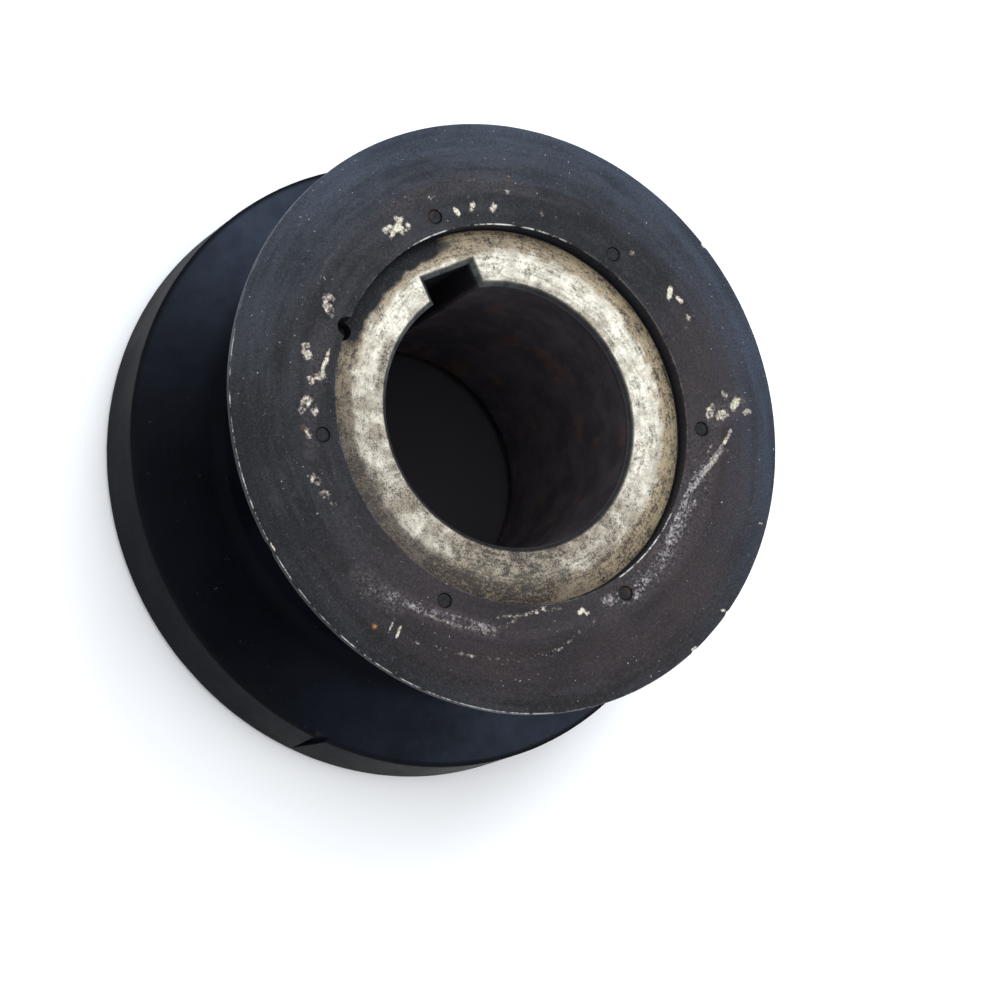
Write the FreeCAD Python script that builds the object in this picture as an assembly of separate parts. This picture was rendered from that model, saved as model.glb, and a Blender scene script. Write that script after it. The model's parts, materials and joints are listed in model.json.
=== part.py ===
import FreeCAD, Part
import math
import os

# Built-up pulley for one wide V belt. A keyed steel sleeve carries a groove core between two
# flanges, and dowel pins hold each flange to the core. Millimetres. The bore axis is Z, the rear
# face stands on z = 0, the front face points up +Z, and the keyway opens towards +Y. Clock angles
# are measured from the keyway, clockwise seen from the front.

os.makedirs("parts", exist_ok=True)

# Sleeve
bore_radius = 24.0
sleeve_radius = 34.7
sleeve_rear_z = 1.0
sleeve_front_z = 53.0
bore_chamfer = 1.0
end_chamfer_inner_radius = 30.9
end_chamfer_depth = 1.4
key_width = 10.0
key_floor_radius = 28.1
key_chamfer = 1.0

# Front flange
front_radius = 54.0
front_face_z = 55.0
bevel_inner_radius = 42.0
front_rim_top_z = 53.9
front_rim_low_z = 52.6

# Rear flange
rear_radius = 58.0
rear_rim_top_z = 14.5
rear_rim_chamfer = 1.2
rear_recess_radius = 49.0
rear_recess_depth = 3.0

# Groove
flank_degrees = 13.0
floor_radius = 41.5
floor_fillet = 3.0
boss_length = 4.0

# Notch across the front corner of the rear rim
notch_width = 2.7
notch_depth = 1.0
notch_length = 12.4
notch_clock_degrees = 226.4
notch_skew_degrees = -2.5

# Dowel pins
pin_radius = 1.3
pin_circle_radius = 37.8
pin_count = 6
pin_first_clock = 1.3
pin_step = 56.5
pin_recess = 0.25
pin_grip_in_core = 4.5
pin_tip_chamfer = 0.3

# Lock pins across the joint of sleeve and flange
lock_radius = 1.8
lock_clock_degrees = 316.0
lock_hole_depth = 10.0
lock_pin_length = 5.0

# Socket set screws in the groove floor
screw_radius = 4.0
screw_clearance = 0.05
screw_length = 12.0
screw_z = 33.5
screw_socket_flats = 4.0
screw_socket_depth = 4.5
screw_tip_chamfer = 0.8
key_screw_tip_radius = 28.5
shaft_screw_tip_radius = 24.2

# How far a cutting tool runs past the face it opens
overrun = 1.0

axis_up = FreeCAD.Vector(0, 0, 1)
centre = FreeCAD.Vector(0, 0, 0)
towards_key = FreeCAD.Vector(0, 1, 0)
beside_key = FreeCAD.Vector(-1, 0, 0)
slope = math.tan(math.radians(flank_degrees))


# Point at a radius and a clock angle from the keyway, seen from the front.
def clock_point(radius, clock_degrees, z):
    angle = math.radians(90.0 - clock_degrees)
    return FreeCAD.Vector(radius * math.cos(angle), radius * math.sin(angle), z)


# Point of a turned outline, drawn in the XZ plane.
def section_point(radius, z):
    return FreeCAD.Vector(radius, 0, z)


# Solid of revolution about Z from a closed outline of (radius, z) corners.
def turned(points):
    corners = [section_point(r, z) for r, z in points]
    wire = Part.makePolygon(corners + [corners[0]])
    return Part.Face(wire).revolve(centre, axis_up, 360)


# Solid of revolution about Z from closed edges in the XZ plane.
def turned_edges(edges):
    wire = Part.Wire(Part.__sortEdges__(edges))
    return Part.Face(wire).revolve(centre, axis_up, 360)


def line(start, end):
    return Part.LineSegment(section_point(*start), section_point(*end)).toShape()


def arc(start, middle, end):
    return Part.Arc(section_point(*start), section_point(*middle), section_point(*end)).toShape()


def rear_flank_z(radius):
    return rear_rim_top_z + (rear_radius - radius) * slope


def front_flank_z(radius):
    return front_rim_low_z - (front_radius - radius) * slope


# Start, middle and end of the arc from a flank to the groove floor. Its side is +1 where the
# groove lies above the flank and -1 where it lies below.
def root_fillet(flank_z_at, side):
    lean = math.radians(flank_degrees)
    reach = floor_fillet * math.tan((math.pi / 2 - lean) / 2)
    corner_z = flank_z_at(floor_radius)
    arc_z = corner_z + side * reach
    start = (floor_radius + reach * math.cos(lean), corner_z - side * reach * math.sin(lean))
    end = (floor_radius, arc_z)
    share = floor_fillet / math.hypot(floor_fillet, reach)
    middle = (floor_radius + floor_fillet * (1.0 - share), arc_z - side * reach * share)
    return start, middle, end


rear_root = root_fillet(rear_flank_z, 1)
front_root = root_fillet(front_flank_z, -1)
core_rear_z = rear_root[2][1] + boss_length
core_front_z = front_root[2][1] - boss_length


def hole_along_z(radius, clock_degrees, circle_radius, low_z, high_z):
    foot = clock_point(circle_radius, clock_degrees, low_z)
    return Part.makeCylinder(radius, high_z - low_z, foot, axis_up)


def pin_clocks():
    return [pin_first_clock + pin_step * index for index in range(pin_count)]


def pin_holes(low_z, high_z):
    return [hole_along_z(pin_radius, clock, pin_circle_radius, low_z, high_z) for clock in pin_clocks()]


# Square slot through the bore wall with a small chamfer at each end of its mouth and floor.
def keyway_cut():
    length = sleeve_front_z - sleeve_rear_z
    foot = FreeCAD.Vector(-key_width / 2, 0, sleeve_rear_z)
    cut = Part.makeBox(key_width, key_floor_radius, length, foot)
    for end_z, inward in ((sleeve_front_z, -1), (sleeve_rear_z, 1)):
        wide = slot_outline(key_chamfer, end_z)
        narrow = slot_outline(0.0, end_z + inward * key_chamfer)
        cut = cut.fuse(Part.makeLoft([wide, narrow], True, True))
    return cut


def slot_outline(grow, z):
    half = key_width / 2 + grow
    top = key_floor_radius + grow
    corners = [(-half, 0.0), (half, 0.0), (half, top), (-half, top), (-half, 0.0)]
    return Part.makePolygon([FreeCAD.Vector(x, y, z) for x, y in corners])


# Tapped hole along a radius, from the bore to the groove floor.
def screw_hole(direction):
    inner_radius = bore_radius - overrun
    start = direction * inner_radius + axis_up * screw_z
    return Part.makeCylinder(screw_radius, floor_radius + overrun - inner_radius, start, direction)


# Hole half in the sleeve and half in the front flange.
def front_lock_hole():
    low_z = front_face_z - lock_hole_depth
    high_z = front_face_z + overrun
    return hole_along_z(lock_radius, lock_clock_degrees, sleeve_radius, low_z, high_z)


# Hole half in the sleeve and half in the rear flange.
def rear_lock_hole():
    return hole_along_z(lock_radius, lock_clock_degrees, sleeve_radius, -overrun, lock_hole_depth)


# Steel tube with the bore, keyway, end chamfers and the tapped screw holes.
def make_hub_sleeve():
    body = turned([
        (bore_radius, sleeve_rear_z + bore_chamfer),
        (bore_radius + bore_chamfer, sleeve_rear_z),
        (end_chamfer_inner_radius, sleeve_rear_z),
        (sleeve_radius, sleeve_rear_z + end_chamfer_depth),
        (sleeve_radius, sleeve_front_z - end_chamfer_depth),
        (end_chamfer_inner_radius, sleeve_front_z),
        (bore_radius + bore_chamfer, sleeve_front_z),
        (bore_radius, sleeve_front_z - bore_chamfer),
    ])
    screw_holes = [screw_hole(towards_key), screw_hole(beside_key)]
    return body.cut(screw_holes + [keyway_cut(), front_lock_hole(), rear_lock_hole()])


# Thin disc with a bevelled face, the front flank of the groove and a short boss.
def make_front_flange():
    start, middle, end = front_root
    edges = [
        line((sleeve_radius, core_front_z), (sleeve_radius, front_face_z)),
        line((sleeve_radius, front_face_z), (bevel_inner_radius, front_face_z)),
        line((bevel_inner_radius, front_face_z), (front_radius, front_rim_top_z)),
        line((front_radius, front_rim_top_z), (front_radius, front_rim_low_z)),
        line((front_radius, front_rim_low_z), start),
        arc(start, middle, end),
        line(end, (floor_radius, core_front_z)),
        line((floor_radius, core_front_z), (sleeve_radius, core_front_z)),
    ]
    holes = pin_holes(core_front_z - overrun, front_face_z + overrun)
    return turned_edges(edges).cut(holes + [front_lock_hole()])


# Thick disc with the rear flank, the wide rim, a rear recess and the rim notch.
def make_rear_flange():
    start, middle, end = rear_root
    recess_z = rear_recess_depth
    edges = [
        line((sleeve_radius, recess_z), (rear_recess_radius, recess_z)),
        line((rear_recess_radius, recess_z), (rear_recess_radius, 0.0)),
        line((rear_recess_radius, 0.0), (rear_radius - rear_rim_chamfer, 0.0)),
        line((rear_radius - rear_rim_chamfer, 0.0), (rear_radius, rear_rim_chamfer)),
        line((rear_radius, rear_rim_chamfer), (rear_radius, rear_rim_top_z)),
        line((rear_radius, rear_rim_top_z), start),
        arc(start, middle, end),
        line(end, (floor_radius, core_rear_z)),
        line((floor_radius, core_rear_z), (sleeve_radius, core_rear_z)),
        line((sleeve_radius, core_rear_z), (sleeve_radius, recess_z)),
    ]
    holes = pin_holes(-overrun, core_rear_z + overrun)
    return turned_edges(edges).cut(holes + [rear_lock_hole(), rim_notch()])


# Wedge that narrows from the rim's front corner to a point, leaning with the skew angle.
def rim_notch():
    outward = clock_point(1.0, notch_clock_degrees, 0.0)
    across = axis_up.cross(outward)
    lean = math.radians(notch_skew_degrees)
    along = axis_up * -math.cos(lean) + across * math.sin(lean)
    root = outward * (rear_radius - notch_depth) + axis_up * (rear_rim_top_z + overrun)
    left = root - across * (notch_width / 2)
    right = root + across * (notch_width / 2)
    tip = root + along * (notch_length + overrun)
    face = Part.Face(Part.makePolygon([left, right, tip, left]))
    return face.extrude(outward * (notch_depth + overrun))


# Drum between the flanges: blind pin holes in both ends and two screw holes in its floor.
def make_groove_core():
    body = turned([
        (sleeve_radius, core_rear_z),
        (floor_radius, core_rear_z),
        (floor_radius, core_front_z),
        (sleeve_radius, core_front_z),
    ])
    front_holes = pin_holes(core_front_z - pin_grip_in_core, core_front_z + overrun)
    rear_holes = pin_holes(core_rear_z - overrun, core_rear_z + pin_grip_in_core)
    return body.cut(front_holes + rear_holes + [screw_hole(towards_key), screw_hole(beside_key)])


# Straight pin along Z with a chamfer on both ends.
def make_pin(radius, low_z, high_z, clock_degrees, circle_radius):
    tip = pin_tip_chamfer
    profile = turned([
        (0.0, low_z),
        (radius - tip, low_z),
        (radius, low_z + tip),
        (radius, high_z - tip),
        (radius - tip, high_z),
        (0.0, high_z),
    ])
    profile.translate(clock_point(circle_radius, clock_degrees, 0.0))
    return profile


# Headless screw along a radius: chamfered tip inside, hexagon socket outside.
def make_set_screw(direction, tip_radius):
    radius = screw_radius - screw_clearance
    tip = Part.makeCone(radius - screw_tip_chamfer, radius, screw_tip_chamfer)
    shank = Part.makeCylinder(radius, screw_length - screw_tip_chamfer, axis_up * screw_tip_chamfer)
    corner_radius = screw_socket_flats / math.sqrt(3.0)
    floor_z = screw_length - screw_socket_depth
    turns = [math.radians(60 * side) for side in range(7)]
    ring = [
        FreeCAD.Vector(corner_radius * math.cos(turn), corner_radius * math.sin(turn), floor_z)
        for turn in turns
    ]
    socket = Part.Face(Part.makePolygon(ring)).extrude(axis_up * (screw_socket_depth + overrun))
    screw = tip.fuse(shank).cut(socket)
    screw.Placement = FreeCAD.Placement(
        direction * tip_radius + axis_up * screw_z, FreeCAD.Rotation(axis_up, direction)
    )
    return screw


parts = {
    "hub_sleeve": make_hub_sleeve(),
    "groove_core": make_groove_core(),
    "front_flange": make_front_flange(),
    "rear_flange": make_rear_flange(),
    "key_set_screw": make_set_screw(towards_key, key_screw_tip_radius),
    "shaft_set_screw": make_set_screw(beside_key, shaft_screw_tip_radius),
    "front_lock_pin": make_pin(
        lock_radius,
        front_face_z - lock_hole_depth,
        front_face_z - lock_hole_depth + lock_pin_length,
        lock_clock_degrees,
        sleeve_radius,
    ),
    "rear_lock_pin": make_pin(
        lock_radius,
        lock_hole_depth - lock_pin_length,
        lock_hole_depth,
        lock_clock_degrees,
        sleeve_radius,
    ),
}
for index, clock in enumerate(pin_clocks()):
    parts["front_pin_%d" % (index + 1)] = make_pin(
        pin_radius,
        core_front_z - pin_grip_in_core,
        front_face_z - pin_recess,
        clock,
        pin_circle_radius,
    )
    parts["rear_pin_%d" % (index + 1)] = make_pin(
        pin_radius,
        rear_recess_depth + pin_recess,
        core_rear_z + pin_grip_in_core,
        clock,
        pin_circle_radius,
    )

for node, shape in parts.items():
    solids = shape.Solids
    print("%-16s solids %d  valid %s  volume %.2f mm3" % (node, len(solids), shape.isValid(), shape.Volume))
    shape.exportStep("parts/%s.step" % node)
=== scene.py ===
import json
import math

import bpy
import numpy as np
from mathutils import Matrix, Vector


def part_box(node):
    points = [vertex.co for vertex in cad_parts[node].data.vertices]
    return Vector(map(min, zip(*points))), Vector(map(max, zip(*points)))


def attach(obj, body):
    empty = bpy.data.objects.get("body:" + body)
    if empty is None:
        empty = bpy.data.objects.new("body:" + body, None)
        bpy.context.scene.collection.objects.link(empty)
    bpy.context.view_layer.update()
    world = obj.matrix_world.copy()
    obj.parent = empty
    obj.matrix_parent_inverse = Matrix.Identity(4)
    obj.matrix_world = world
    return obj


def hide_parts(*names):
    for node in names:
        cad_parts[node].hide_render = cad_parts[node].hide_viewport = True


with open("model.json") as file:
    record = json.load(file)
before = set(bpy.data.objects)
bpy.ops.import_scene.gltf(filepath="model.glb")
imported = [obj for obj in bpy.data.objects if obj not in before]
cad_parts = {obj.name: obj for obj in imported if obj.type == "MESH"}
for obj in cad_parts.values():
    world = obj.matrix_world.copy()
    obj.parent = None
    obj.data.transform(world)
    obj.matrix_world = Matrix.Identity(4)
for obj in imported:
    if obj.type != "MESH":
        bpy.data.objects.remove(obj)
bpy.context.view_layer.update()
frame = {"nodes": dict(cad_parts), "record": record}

scene = bpy.context.scene
print("frame loaded:", len(frame["nodes"]), "nodes")

# Sizes read from the frame, in metres. Clock angles run clockwise from the keyway, seen from the front.
frontLow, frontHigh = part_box("front_flange")
rearLow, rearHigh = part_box("rear_flange")
coreLow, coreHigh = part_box("groove_core")
sleeveLow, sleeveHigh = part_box("hub_sleeve")
mounts = {mount["name"]: mount for mount in frame["record"]["mounts"]}
boreRadius = mounts["bore"]["dims"]["r_mm"] / 1000
sleeveRadius = sleeveHigh[0]
coreRadius = coreHigh[0]

grooveShape = {
    "flankDegrees": 13.0,
    "rootRadius": 0.003,
}


# Smooth step: 0 below low, 1 above high, and 3t^2 - 2t^3 between.
def fade(value, low, high):
    t = np.clip((value - low) / (high - low), 0.0, 1.0)
    return t * t * (3.0 - 2.0 * t)


# The same step downwards: 1 below low and 0 above high.
def fadeOut(value, low, high):
    return 1.0 - fade(value, low, high)


# Value noise: random corner values of cubes of the given cell, blended smoothly inside each cube.
def cubeNoise(points, cell, seed):
    scaled = points / cell + seed * 17.31
    base = np.floor(scaled).astype(np.int64)
    part = scaled - base
    part = part * part * (3.0 - 2.0 * part)
    total = np.zeros(len(points))
    for corner in range(8):
        step = np.array([corner >> 2 & 1, corner >> 1 & 1, corner & 1])
        lattice = base + step
        mixed = lattice[:, 0] * 73856093 ^ lattice[:, 1] * 19349663 ^ lattice[:, 2] * 83492791 ^ seed * 7919
        mixed = (mixed ^ mixed >> 13) * 1274126177
        value = ((mixed ^ mixed >> 16) & 65535) / 65535.0
        total += value * np.prod(np.where(step, part, 1.0 - part), axis=1)
    return total


# Sum of cube noises, each with half the cell and half the weight of the one before, from 0 to 1.
def layeredNoise(points, cell, seed, layers=4):
    total = np.zeros(len(points))
    weight = 1.0
    for layer in range(layers):
        total += weight * cubeNoise(points, cell / 2**layer, seed + layer)
        weight *= 0.5
    return total / (2.0 - 2.0 * weight)


def clockOf(points):
    return np.degrees(np.arctan2(points[:, 0], points[:, 1])) % 360.0


def radiusOf(points):
    return np.hypot(points[:, 0], points[:, 1])


# Signed difference of two clock angles, from -180 to 180.
def clockGap(clocks, clock):
    return (clocks - clock + 180.0) % 360.0 - 180.0


# Sector round a clock angle: 1 within full degrees of it and 0 past none degrees.
def sector(clocks, middle, full, none):
    return fadeOut(np.abs(clockGap(clocks, middle)), full, none)


# Position about a spot on the face: along the clockwise arc and outwards, turned by a lean in degrees.
def aroundSpot(points, clock, radius, lean=0.0):
    along = np.radians(clockGap(clockOf(points), clock)) * radius
    outward = radiusOf(points) - radius
    turn = math.radians(lean)
    cosine, sine = math.cos(turn), math.sin(turn)
    return along * cosine + outward * sine, outward * cosine - along * sine


# Soft oval patch: 1 in its middle and 0 past its half sizes.
def ovalPatch(points, clock, radius, halfAlong, halfOut, lean=0.0):
    along, outward = aroundSpot(points, clock, radius, lean)
    return fadeOut(np.hypot(along / halfAlong, outward / halfOut), 0.35, 1.0)


# Soft line through (clock, radius) stations: 1 on the line and 0 past its half width.
def softLine(points, stations, halfWidth):
    stations = np.array(stations)
    angles = np.radians(90.0 - stations[:, 0])
    xs = stations[:, 1] * np.cos(angles)
    ys = stations[:, 1] * np.sin(angles)
    nearest = np.full(len(points), 1.0)
    for i in range(len(xs) - 1):
        span = np.array([xs[i + 1] - xs[i], ys[i + 1] - ys[i]])
        fromStart = points[:, :2] - (xs[i], ys[i])
        share = np.clip(fromStart @ span / (span @ span), 0.0, 1.0)
        nearest = np.minimum(nearest, np.linalg.norm(fromStart - share[:, None] * span, axis=1))
    return fadeOut(nearest, halfWidth * 0.3, halfWidth)


# Closed outline of (radius, height, rounding, spacing) corners: each corner is rounded by an arc that
# touches both sides, and the run after a corner is divided into steps of about its spacing.
def roundedOutline(corners):
    spots = np.array([corner[:2] for corner in corners])
    starts, ends, arcs = [], [], []
    for i in range(len(spots)):
        before = spots[i - 1] - spots[i]
        after = spots[(i + 1) % len(spots)] - spots[i]
        before = before / np.linalg.norm(before)
        after = after / np.linalg.norm(after)
        rounding = corners[i][2]
        half = math.acos(float(np.clip(before @ after, -1.0, 1.0))) / 2
        reach = rounding / math.tan(half)
        start = spots[i] + before * reach
        end = spots[i] + after * reach
        middle = (before + after) / np.linalg.norm(before + after)
        centre = spots[i] + middle * rounding / math.sin(half)
        count = max(2, int(math.ceil((math.pi / 2 - half) * 2 / math.radians(18.0))))
        turns = np.linspace(0.0, 1.0, count + 1)[:, None]
        swing = start - centre
        other = end - centre
        whole = math.pi - 2 * half
        swept = np.sin((1 - turns) * whole) * swing + np.sin(turns * whole) * other
        arc = centre + swept / math.sin(whole)
        starts.append(start)
        ends.append(end)
        arcs.append(arc if rounding > 0 else spots[i][None, :])
    outline = []
    for i in range(len(spots)):
        outline.append(arcs[i])
        target = starts[(i + 1) % len(spots)]
        steps = max(1, int(round(np.linalg.norm(target - ends[i]) / corners[i][3])))
        shares = np.arange(1, steps)[:, None] / steps
        outline.append(ends[i] + shares * (target - ends[i]))
    return np.concatenate(outline)


# Closed ring: x = radius sin(clock), y = radius cos(clock), z = height, on a grid of outline corners by
# clock steps that joins up both ways. Radii, heights and clocks are arrays of corners by steps.
def ringMesh(name, radii, heights, clocks):
    rows, steps = radii.shape
    points = np.stack([radii * np.sin(clocks), radii * np.cos(clocks), heights], axis=2)
    row, step = np.meshgrid(np.arange(rows), np.arange(steps), indexing="ij")
    nextRow = (row + 1) % rows
    nextStep = (step + 1) % steps
    here, above = row * steps, nextRow * steps
    quads = np.stack([here + step, above + step, above + nextStep, here + nextStep], axis=2)
    return meshFrom(name, points.reshape(-1, 3), quads.reshape(-1, 4))


# Turned solid about a line: the outline starts and ends on the axis, where one vertex closes each end.
# Point = foot + height * axis + radius * (cos(turn) * side + sin(turn) * cross).
def turnedMesh(name, outline, steps, foot, axis, radiusScale=None):
    axis = Vector(axis).normalized()
    side = axis.orthogonal().normalized()
    cross = axis.cross(side)
    turns = np.arange(steps) * (2 * math.pi / steps)
    radii = np.repeat(outline[1:-1, 0:1], steps, axis=1)
    if radiusScale is not None:
        radii = radii * radiusScale(turns)
    spin = np.cos(turns)[:, None] * np.array(side) + np.sin(turns)[:, None] * np.array(cross)
    rings = radii[:, :, None] * spin + outline[1:-1, 1][:, None, None] * np.array(axis)
    ends = outline[[0, -1], 1][:, None] * np.array(axis)
    points = np.concatenate([rings.reshape(-1, 3), ends]) + np.array(foot)
    rows = len(outline) - 2
    row, step = np.meshgrid(np.arange(rows - 1), np.arange(steps), indexing="ij")
    nextStep = (step + 1) % steps
    here, above = row * steps, (row + 1) * steps
    quads = np.stack([here + step, here + nextStep, above + nextStep, above + step], axis=2)
    loop = np.arange(steps)
    following = (loop + 1) % steps
    first = np.full(steps, rows * steps)
    last = np.full(steps, rows * steps + 1)
    top = (rows - 1) * steps
    caps = np.concatenate([
        np.stack([first, following, loop], axis=1),
        np.stack([last, top + loop, top + following], axis=1),
    ])
    return meshFrom(name, points, quads.reshape(-1, 4), caps)


def meshFrom(name, points, quads, triangles=None):
    mesh = bpy.data.meshes.new(name)
    faces = quads.tolist() + ([] if triangles is None else triangles.tolist())
    mesh.from_pydata(points.tolist(), [], faces)
    piece = bpy.data.objects.new(name, mesh)
    scene.collection.objects.link(piece)
    return piece


def pointsOf(mesh):
    values = np.empty(len(mesh.vertices) * 3)
    mesh.vertices.foreach_get("co", values)
    return values.reshape(-1, 3)


# Cuts the cutters out of a piece and removes them.
def cutAway(piece, cutters):
    for cutter in cutters:
        modifier = piece.modifiers.new("hole", "BOOLEAN")
        modifier.operation = "DIFFERENCE"
        modifier.solver = "EXACT"
        modifier.object = cutter
    settled = piece.evaluated_get(bpy.context.evaluated_depsgraph_get())
    mesh = bpy.data.meshes.new_from_object(settled)
    piece.modifiers.clear()
    oldMesh = piece.data
    piece.data = mesh
    bpy.data.meshes.remove(oldMesh)
    for cutter in cutters:
        cutterMesh = cutter.data
        bpy.data.objects.remove(cutter)
        bpy.data.meshes.remove(cutterMesh)


# Round cutter with flat ends.
def rod(foot, axis, radius, length, steps=64):
    outline = np.array([(0.0, 0.0), (radius, 0.0), (radius, length), (0.0, length)])
    return turnedMesh("cutter", outline, steps, foot, axis)


def spotOn(clock, radius, height):
    angle = math.radians(clock)
    return Vector((radius * math.sin(angle), radius * math.cos(angle), height))


# Moves points, shades the piece smooth with its sharp corners kept, and gives it its finish.
def finishPiece(piece, node, material, points=None, sharpDegrees=35.0):
    mesh = piece.data
    if points is not None:
        mesh.vertices.foreach_set("co", points.reshape(-1))
    mesh.materials.clear()
    mesh.materials.append(material)
    mesh.shade_smooth()
    mesh.set_sharp_from_angle(angle=math.radians(sharpDegrees))
    mesh.update()
    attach(piece, "root")
    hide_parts(node)


# Stores up to three fields, each from 0 to 1, as one colour attribute on the vertices.
def storeFields(piece, name, fields):
    mesh = piece.data
    layer = mesh.color_attributes.new(name, "FLOAT_COLOR", "POINT")
    values = np.ones((len(mesh.vertices), 4))
    for i, field in enumerate(fields):
        values[:, i] = np.clip(field, 0.0, 1.0)
    layer.data.foreach_set("color", values.reshape(-1))


# A material under construction. Its short methods add one node each and return the node's output.
class Finish:
    def __init__(self, name):
        self.material = bpy.data.materials.new(name)
        self.material.use_nodes = True
        self.tree = self.material.node_tree
        self.tree.nodes.clear()
        self.place = self.put("ShaderNodeTexCoord").outputs["Object"]

    def put(self, kind, inputs=None, **settings):
        node = self.tree.nodes.new(kind)
        for key, value in settings.items():
            setattr(node, key, value)
        for key, value in (inputs or {}).items():
            socket = node.inputs[key]
            if isinstance(value, bpy.types.NodeSocket):
                self.tree.links.new(value, socket)
            else:
                socket.default_value = value
        return node

    # Noise whose blobs are about the given size in metres.
    def noise(self, size, detail=4.0, roughness=0.55, place=None, distortion=0.0):
        inputs = {
            "Vector": place or self.place,
            "Scale": 0.5 / size,
            "Detail": detail,
            "Roughness": roughness,
            "Distortion": distortion,
        }
        return self.put("ShaderNodeTexNoise", inputs).outputs["Fac"]

    # Noise along one number only, such as the radius for turning marks.
    def noiseAlong(self, value, size, detail=3.0):
        scaled = self.math("MULTIPLY", value, 0.5 / size)
        inputs = {"W": scaled, "Scale": 1.0, "Detail": detail, "Roughness": 0.6}
        return self.put("ShaderNodeTexNoise", inputs, noise_dimensions="1D").outputs["Fac"]

    # Streaks that run round the bore axis, about the given length along the arc and width across it.
    # Each point is placed at its direction from the axis times a constant, with its radius as height.
    def streaks(self, length, width, detail=4.0):
        outward = self.vector("NORMALIZE", self.vector("MULTIPLY", self.place, (1.0, 1.0, 0.0)))
        spin = self.vector("MULTIPLY", outward, (0.02 / length,) * 3)
        height = self.math("MULTIPLY", self.axisDistance(), 0.5 / width)
        rise = self.put("ShaderNodeCombineXYZ", {"Z": height}).outputs[0]
        place = self.vector("ADD", spin, rise)
        inputs = {"Vector": place, "Scale": 1.0, "Detail": detail, "Roughness": 0.6}
        return self.put("ShaderNodeTexNoise", inputs).outputs["Fac"]

    # Noise stretched so that its usual range fills 0 to 1.
    def spread(self, value, low=0.34, high=0.66):
        inputs = {"Value": value, "From Min": low, "From Max": high}
        return self.put("ShaderNodeMapRange", inputs).outputs["Result"]

    # Weighted sum of values, given as (value, weight) pairs.
    def blend(self, parts):
        total = self.math("MULTIPLY", *parts[0])
        for value, weight in parts[1:]:
            inputs = {0: value, 1: weight, 2: total}
            total = self.put("ShaderNodeMath", inputs, operation="MULTIPLY_ADD").outputs[0]
        return total

    def math(self, operation, first, second=0.0, clamp=False):
        inputs = {0: first, 1: second}
        return self.put("ShaderNodeMath", inputs, operation=operation, use_clamp=clamp).outputs[0]

    def vector(self, operation, first, second=(0.0, 0.0, 0.0)):
        inputs = {0: first, 1: second}
        return self.put("ShaderNodeVectorMath", inputs, operation=operation).outputs[0]

    def length(self, vector):
        return self.put("ShaderNodeVectorMath", {0: vector}, operation="LENGTH").outputs["Value"]

    # Smooth 0 to 1 as the value goes from low to high.
    def step(self, value, low, high, start=0.0, end=1.0):
        inputs = {"Value": value, "From Min": low, "From Max": high, "To Min": start, "To Max": end}
        node = self.put("ShaderNodeMapRange", inputs, interpolation_type="SMOOTHSTEP")
        return node.outputs["Result"]

    def mix(self, factor, first, second):
        node = self.put("ShaderNodeMix", data_type="RGBA")
        for index, value in ((0, factor), (6, first), (7, second)):
            if isinstance(value, bpy.types.NodeSocket):
                self.tree.links.new(value, node.inputs[index])
            elif index == 0:
                node.inputs[0].default_value = value
            else:
                node.inputs[index].default_value = (*value, 1.0)
        return node.outputs[2]

    def mixNumber(self, factor, first, second):
        inputs = {0: factor, 2: first, 3: second}
        return self.put("ShaderNodeMix", inputs, data_type="FLOAT").outputs[0]

    # The fields stored by storeFields, as three outputs.
    def fields(self, name):
        colour = self.put("ShaderNodeAttribute", attribute_name=name).outputs["Color"]
        split = self.put("ShaderNodeSeparateColor", {"Color": colour})
        return split.outputs["Red"], split.outputs["Green"], split.outputs["Blue"]

    # Distance from the bore axis.
    def axisDistance(self):
        return self.length(self.vector("MULTIPLY", self.place, (1.0, 1.0, 0.0)))

    # Distance from a circle round the bore axis, given by its radius and height.
    def ringDistance(self, radius, height):
        rise = self.put("ShaderNodeSeparateXYZ", {"Vector": self.place}).outputs["Z"]
        across = self.math("SUBTRACT", self.axisDistance(), radius)
        up = self.math("SUBTRACT", rise, height)
        both = self.put("ShaderNodeCombineXYZ", {"X": across, "Y": up}).outputs[0]
        return self.length(both)

    def bump(self, height, depth):
        inputs = {"Height": height, "Distance": depth, "Strength": 1.0}
        return self.put("ShaderNodeBump", inputs).outputs["Normal"]

    def close(self, inputs):
        shader = self.put("ShaderNodeBsdfPrincipled", inputs)
        self.put("ShaderNodeOutputMaterial", {"Surface": shader.outputs["BSDF"]})
        return self.material


frontShape = {
    "rimThickness": 0.0013,
    "bevelStart": 0.042,
    "bevelDrop": 0.0011,
    "edgeRound": 0.00018,
    "holeRound": 0.00015,
    "faceSpacing": 0.00036,
    "clockSteps": 1020,
}

frontFinish = {
    "oxide": (0.0175, 0.0185, 0.0235),
    "oxideDark": (0.0050, 0.0055, 0.0075),
    "warmOxide": (0.0250, 0.0170, 0.0180),
    # Painted sheen: lighter bluish colour for the bevel round clock 45.
    "blueOxide": (0.027, 0.036, 0.055),
    # Painted shade colour for the left of the face and round clock 212.
    "shade": (0.0016, 0.0021, 0.0036),
    "cream": (0.60, 0.57, 0.43),
    "pinkish": (0.28, 0.235, 0.21),
    "crust": (0.36, 0.33, 0.34),
    "crustBase": (0.075, 0.062, 0.066),
    "crustDark": (0.012, 0.010, 0.011),
    "rust": (0.050, 0.024, 0.018),
    "orange": (0.26, 0.12, 0.040),
    "dust": (0.34, 0.35, 0.37),
    "pit": (0.004, 0.004, 0.005),
    # Painted shade colour for the hole wall and the groove side of the flange.
    "wall": (0.009, 0.010, 0.014),
    # Bright edge line colour: partly worn bare edge, partly painted highlight.
    "edgeLine": (0.52, 0.52, 0.49),
}


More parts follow.
